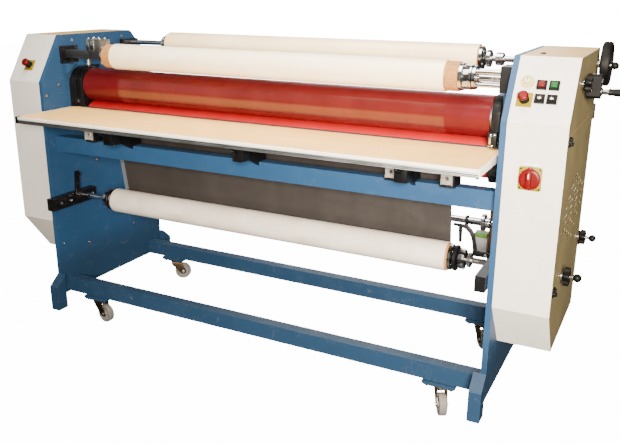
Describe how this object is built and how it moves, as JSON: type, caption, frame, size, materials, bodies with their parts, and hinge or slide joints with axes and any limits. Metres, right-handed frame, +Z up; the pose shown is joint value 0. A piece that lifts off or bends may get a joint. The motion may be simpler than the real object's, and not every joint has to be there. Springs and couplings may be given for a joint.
{
  "type": "roll mounting press",
  "caption": "Wide free-standing roller mounting press: blue side plates and beams, enclosed drive, feed table, rubber rollers and film rolls on swivel casters.",
  "frame": {"origin": "centre of the machine's footprint on the floor, under its casters", "axes": "+X along the rollers towards the control end, +Y from the feed table to the back, +Z up"},
  "size_m": [2.275, 0.855, 1.192],
  "materials": {
    "blue_paint": "semi-gloss powder coat",
    "cover_paint": "fine textured powder coat",
    "panel_paint": "fine textured powder coat",
    "black_plastic": "satin moulded",
    "black_paint": "satin black",
    "zinc": "zinc plated",
    "table_board": "cream laminate over board",
    "edge_plastic": "white edge strip",
    "screw_steel": "bright plated",
    "control_plastic": "moulded",
    "motor_paint": "grey enamel",
    "grey_film": "film web",
    "clear_film": "thin glossy film over the red roller",
    "caster_zinc": "zinc plated",
    "machined_steel": "turned",
    "red_rubber": "ground silicone rubber",
    "cream_film": "wound film",
    "cardboard": "spiral wound tube",
    "chrome": "plated",
    "red_plastic": "moulded",
    "green_plastic": "moulded",
    "arrow_plastic": "moulded, dark arrow",
    "ivory_plastic": "moulded",
    "grey_tyre": "non-marking rubber"
  },
  "bodies": {
    "frame": {"side_plates": "blue_paint", "cross_beams": "blue_paint", "frame_blocks": "blue_paint", "left_cover": "cover_paint", "right_cover": "cover_paint", "vent_panel": "panel_paint", "panel_latches": "black_plastic", "roll_brackets": "black_paint", "spindle_fittings": "zinc", "roller_end_plates": "black_paint", "feed_table": "table_board", "table_edging": "edge_plastic", "table_brackets": "black_paint", "screws": "screw_steel", "control_plates": "control_plastic", "drive_motor": "motor_paint", "control_box": "motor_paint", "lower_web": "grey_film", "caster_plates": "caster_zinc"},
    "lift_carriage": {"bearing_blocks": "machined_steel", "top_web": "clear_film"},
    "top_roller": {"top_shaft": "machined_steel", "top_journals": "machined_steel", "top_sleeve": "red_rubber"},
    "bottom_roller": {"bottom_shaft": "machined_steel", "bottom_journals": "machined_steel", "bottom_sleeve": "red_rubber"},
    "lift_drive": {"lift_shaft": "machined_steel", "lift_crank": "black_plastic"},
    "left_screw": {"lift_screw_left": "machined_steel"},
    "right_screw": {"lift_screw_right": "machined_steel"},
    "front_roll": {"front_film": "cream_film", "front_core": "cardboard", "front_hubs": "chrome"},
    "rear_roll": {"rear_film": "cream_film", "rear_core": "cardboard", "rear_hubs": "chrome"},
    "lower_roll": {"lower_film": "cream_film", "lower_core": "cardboard", "lower_hubs": "chrome"},
    "takeup": {"takeup_shaft": "chrome"},
    "rear_brake_wheel": {"handwheel": "black_plastic"},
    "front_brake_knob": {"tension_knob_top": "black_plastic"},
    "lower_brake_knob": {"tension_knob_lower": "black_plastic"},
    "takeup_brake_knob": {"tension_knob_takeup": "black_plastic"},
    "lever": {"release_lever": "black_paint"},
    "estop_right": {"estop_head_right": "red_plastic"},
    "estop_left": {"estop_head_left": "red_plastic"},
    "stop": {"stop_button": "red_plastic"},
    "start": {"start_button": "green_plastic"},
    "forward": {"forward_button": "arrow_plastic"},
    "reverse": {"reverse_button": "arrow_plastic"},
    "main_switch": {"switch_knob": "red_plastic"},
    "speed": {"speed_knob": "ivory_plastic"},
    "swivel_fl": {"caster_fork_fl": "caster_zinc"},
    "wheel_fl": {"caster_wheel_fl": "grey_tyre"},
    "swivel_fr": {"caster_fork_fr": "caster_zinc"},
    "wheel_fr": {"caster_wheel_fr": "grey_tyre"},
    "swivel_rl": {"caster_fork_rl": "caster_zinc"},
    "wheel_rl": {"caster_wheel_rl": "grey_tyre"},
    "swivel_rr": {"caster_fork_rr": "caster_zinc"},
    "wheel_rr": {"caster_wheel_rr": "grey_tyre"}
  },
  "joints": [
    {"name": "lift_crank_turn", "type": "hinge", "parent": "frame", "child": "lift_drive", "pos_m": [-0.0775, -0.0325, 1.095], "axis": [1, 0, 0], "range_deg": [0, 1440]},
    {"name": "top_roller_lift", "type": "slide", "parent": "frame", "child": "lift_carriage", "axis": [0, 0, 1], "range_m": [0, 0.012]},
    {"name": "left_screw_turn", "type": "hinge", "parent": "frame", "child": "left_screw", "pos_m": [-0.9435, -0.0325, 1.04], "axis": [0, 0, 1], "range_deg": [0, 1440]},
    {"name": "right_screw_turn", "type": "hinge", "parent": "frame", "child": "right_screw", "pos_m": [0.7885, -0.0325, 1.04], "axis": [0, 0, 1], "range_deg": [-1440, 0]},
    {"name": "top_roller_spin", "type": "hinge", "parent": "lift_carriage", "child": "top_roller", "pos_m": [-0.0775, -0.0605, 0.9725], "axis": [1, 0, 0], "continuous": true},
    {"name": "bottom_roller_spin", "type": "hinge", "parent": "frame", "child": "bottom_roller", "pos_m": [-0.0775, -0.0605, 0.842], "axis": [1, 0, 0], "continuous": true},
    {"name": "front_roll_spin", "type": "hinge", "parent": "frame", "child": "front_roll", "pos_m": [-0.0775, -0.1175, 1.095], "axis": [1, 0, 0], "continuous": true},
    {"name": "rear_roll_spin", "type": "hinge", "parent": "frame", "child": "rear_roll", "pos_m": [-0.0775, 0.2325, 1.122], "axis": [1, 0, 0], "continuous": true},
    {"name": "lower_roll_spin", "type": "hinge", "parent": "frame", "child": "lower_roll", "pos_m": [-0.0775, -0.1275, 0.516], "axis": [1, 0, 0], "continuous": true},
    {"name": "takeup_spin", "type": "hinge", "parent": "frame", "child": "takeup", "pos_m": [-0.0775, 0.2075, 0.54], "axis": [1, 0, 0], "continuous": true},
    {"name": "rear_brake_turn", "type": "hinge", "parent": "frame", "child": "rear_brake_wheel", "pos_m": [0.9225, 0.2325, 1.122], "axis": [1, 0, 0], "range_deg": [-360, 360]},
    {"name": "front_brake_turn", "type": "hinge", "parent": "frame", "child": "front_brake_knob", "pos_m": [0.9225, -0.1175, 1.095], "axis": [1, 0, 0], "range_deg": [-360, 360]},
    {"name": "lower_brake_turn", "type": "hinge", "parent": "frame", "child": "lower_brake_knob", "pos_m": [0.9225, -0.1275, 0.516], "axis": [1, 0, 0], "range_deg": [-360, 360]},
    {"name": "takeup_brake_turn", "type": "hinge", "parent": "frame", "child": "takeup_brake_knob", "pos_m": [0.9225, 0.2075, 0.54], "axis": [1, 0, 0], "range_deg": [-360, 360]},
    {"name": "release_lever_swing", "type": "hinge", "parent": "frame", "child": "lever", "pos_m": [-0.9275, -0.1775, 0.518], "axis": [1, 0, 0], "range_deg": [-30, 45]},
    {"name": "estop_right_press", "type": "slide", "parent": "frame", "child": "estop_right", "axis": [0, 0.8453, -0.5344], "range_m": [0, 0.005], "stiffness_N_per_m": 800},
    {"name": "estop_left_press", "type": "slide", "parent": "frame", "child": "estop_left", "axis": [0, 0.8453, -0.5344], "range_m": [0, 0.005], "stiffness_N_per_m": 800},
    {"name": "stop_press", "type": "slide", "parent": "frame", "child": "stop", "axis": [0, 0.8453, -0.5344], "range_m": [0, 0.003], "stiffness_N_per_m": 600},
    {"name": "start_press", "type": "slide", "parent": "frame", "child": "start", "axis": [0, 0.8453, -0.5344], "range_m": [0, 0.003], "stiffness_N_per_m": 600},
    {"name": "forward_press", "type": "slide", "parent": "frame", "child": "forward", "axis": [0, 0.8453, -0.5344], "range_m": [0, 0.003], "stiffness_N_per_m": 600},
    {"name": "reverse_press", "type": "slide", "parent": "frame", "child": "reverse", "axis": [0, 0.8453, -0.5344], "range_m": [0, 0.003], "stiffness_N_per_m": 600},
    {"name": "main_switch_turn", "type": "hinge", "parent": "frame", "child": "main_switch", "pos_m": [0.8985, -0.2725, 0.842], "axis": [0, 1, 0], "range_deg": [0, 90]},
    {"name": "speed_turn", "type": "hinge", "parent": "frame", "child": "speed", "pos_m": [0.8565, -0.20624, 1.10081], "axis": [0, -0.8453, 0.5344], "range_deg": [-135, 135]},
    {"name": "caster_fl_swivel", "type": "hinge", "parent": "frame", "child": "swivel_fl", "pos_m": [-0.8175, -0.205, 0.09], "axis": [0, 0, 1], "continuous": true},
    {"name": "caster_fl_roll", "type": "hinge", "parent": "swivel_fl", "child": "wheel_fl", "pos_m": [-0.78779, -0.20917, 0.038], "axis": [-0.1392, -0.9903, 0], "continuous": true},
    {"name": "caster_fr_swivel", "type": "hinge", "parent": "frame", "child": "swivel_fr", "pos_m": [0.6625, -0.205, 0.09], "axis": [0, 0, 1], "continuous": true},
    {"name": "caster_fr_roll", "type": "hinge", "parent": "swivel_fr", "child": "wheel_fr", "pos_m": [0.67658, -0.23149, 0.038], "axis": [-0.8829, -0.4695, 0], "continuous": true},
    {"name": "caster_rl_swivel", "type": "hinge", "parent": "frame", "child": "swivel_rl", "pos_m": [-0.8175, 0.315, 0.09], "axis": [0, 0, 1], "continuous": true},
    {"name": "caster_rl_roll", "type": "hinge", "parent": "swivel_rl", "child": "wheel_rl", "pos_m": [-0.79452, 0.33428, 0.038], "axis": [0.6428, -0.766, 0], "continuous": true},
    {"name": "caster_rr_swivel", "type": "hinge", "parent": "frame", "child": "swivel_rr", "pos_m": [0.6625, 0.315, 0.09], "axis": [0, 0, 1], "continuous": true},
    {"name": "caster_rr_roll", "type": "hinge", "parent": "swivel_rr", "child": "wheel_rr", "pos_m": [0.68178, 0.29202, 0.038], "axis": [-0.766, -0.6428, 0], "continuous": true}
  ],
  "couplings": [
    {"joint": "lift_crank_turn", "follows": "top_roller_lift", "rad_per_m": 2094.4},
    {"joint": "left_screw_turn", "follows": "top_roller_lift", "rad_per_m": 2094.4},
    {"joint": "right_screw_turn", "follows": "top_roller_lift", "rad_per_m": -2094.4},
    {"joint": "top_roller_spin", "follows": "bottom_roller_spin", "ratio": -1},
    {"joint": "front_roll_spin", "follows": "bottom_roller_spin", "ratio": 1.3542},
    {"joint": "lower_roll_spin", "follows": "bottom_roller_spin", "ratio": -1.3542}
  ]
}
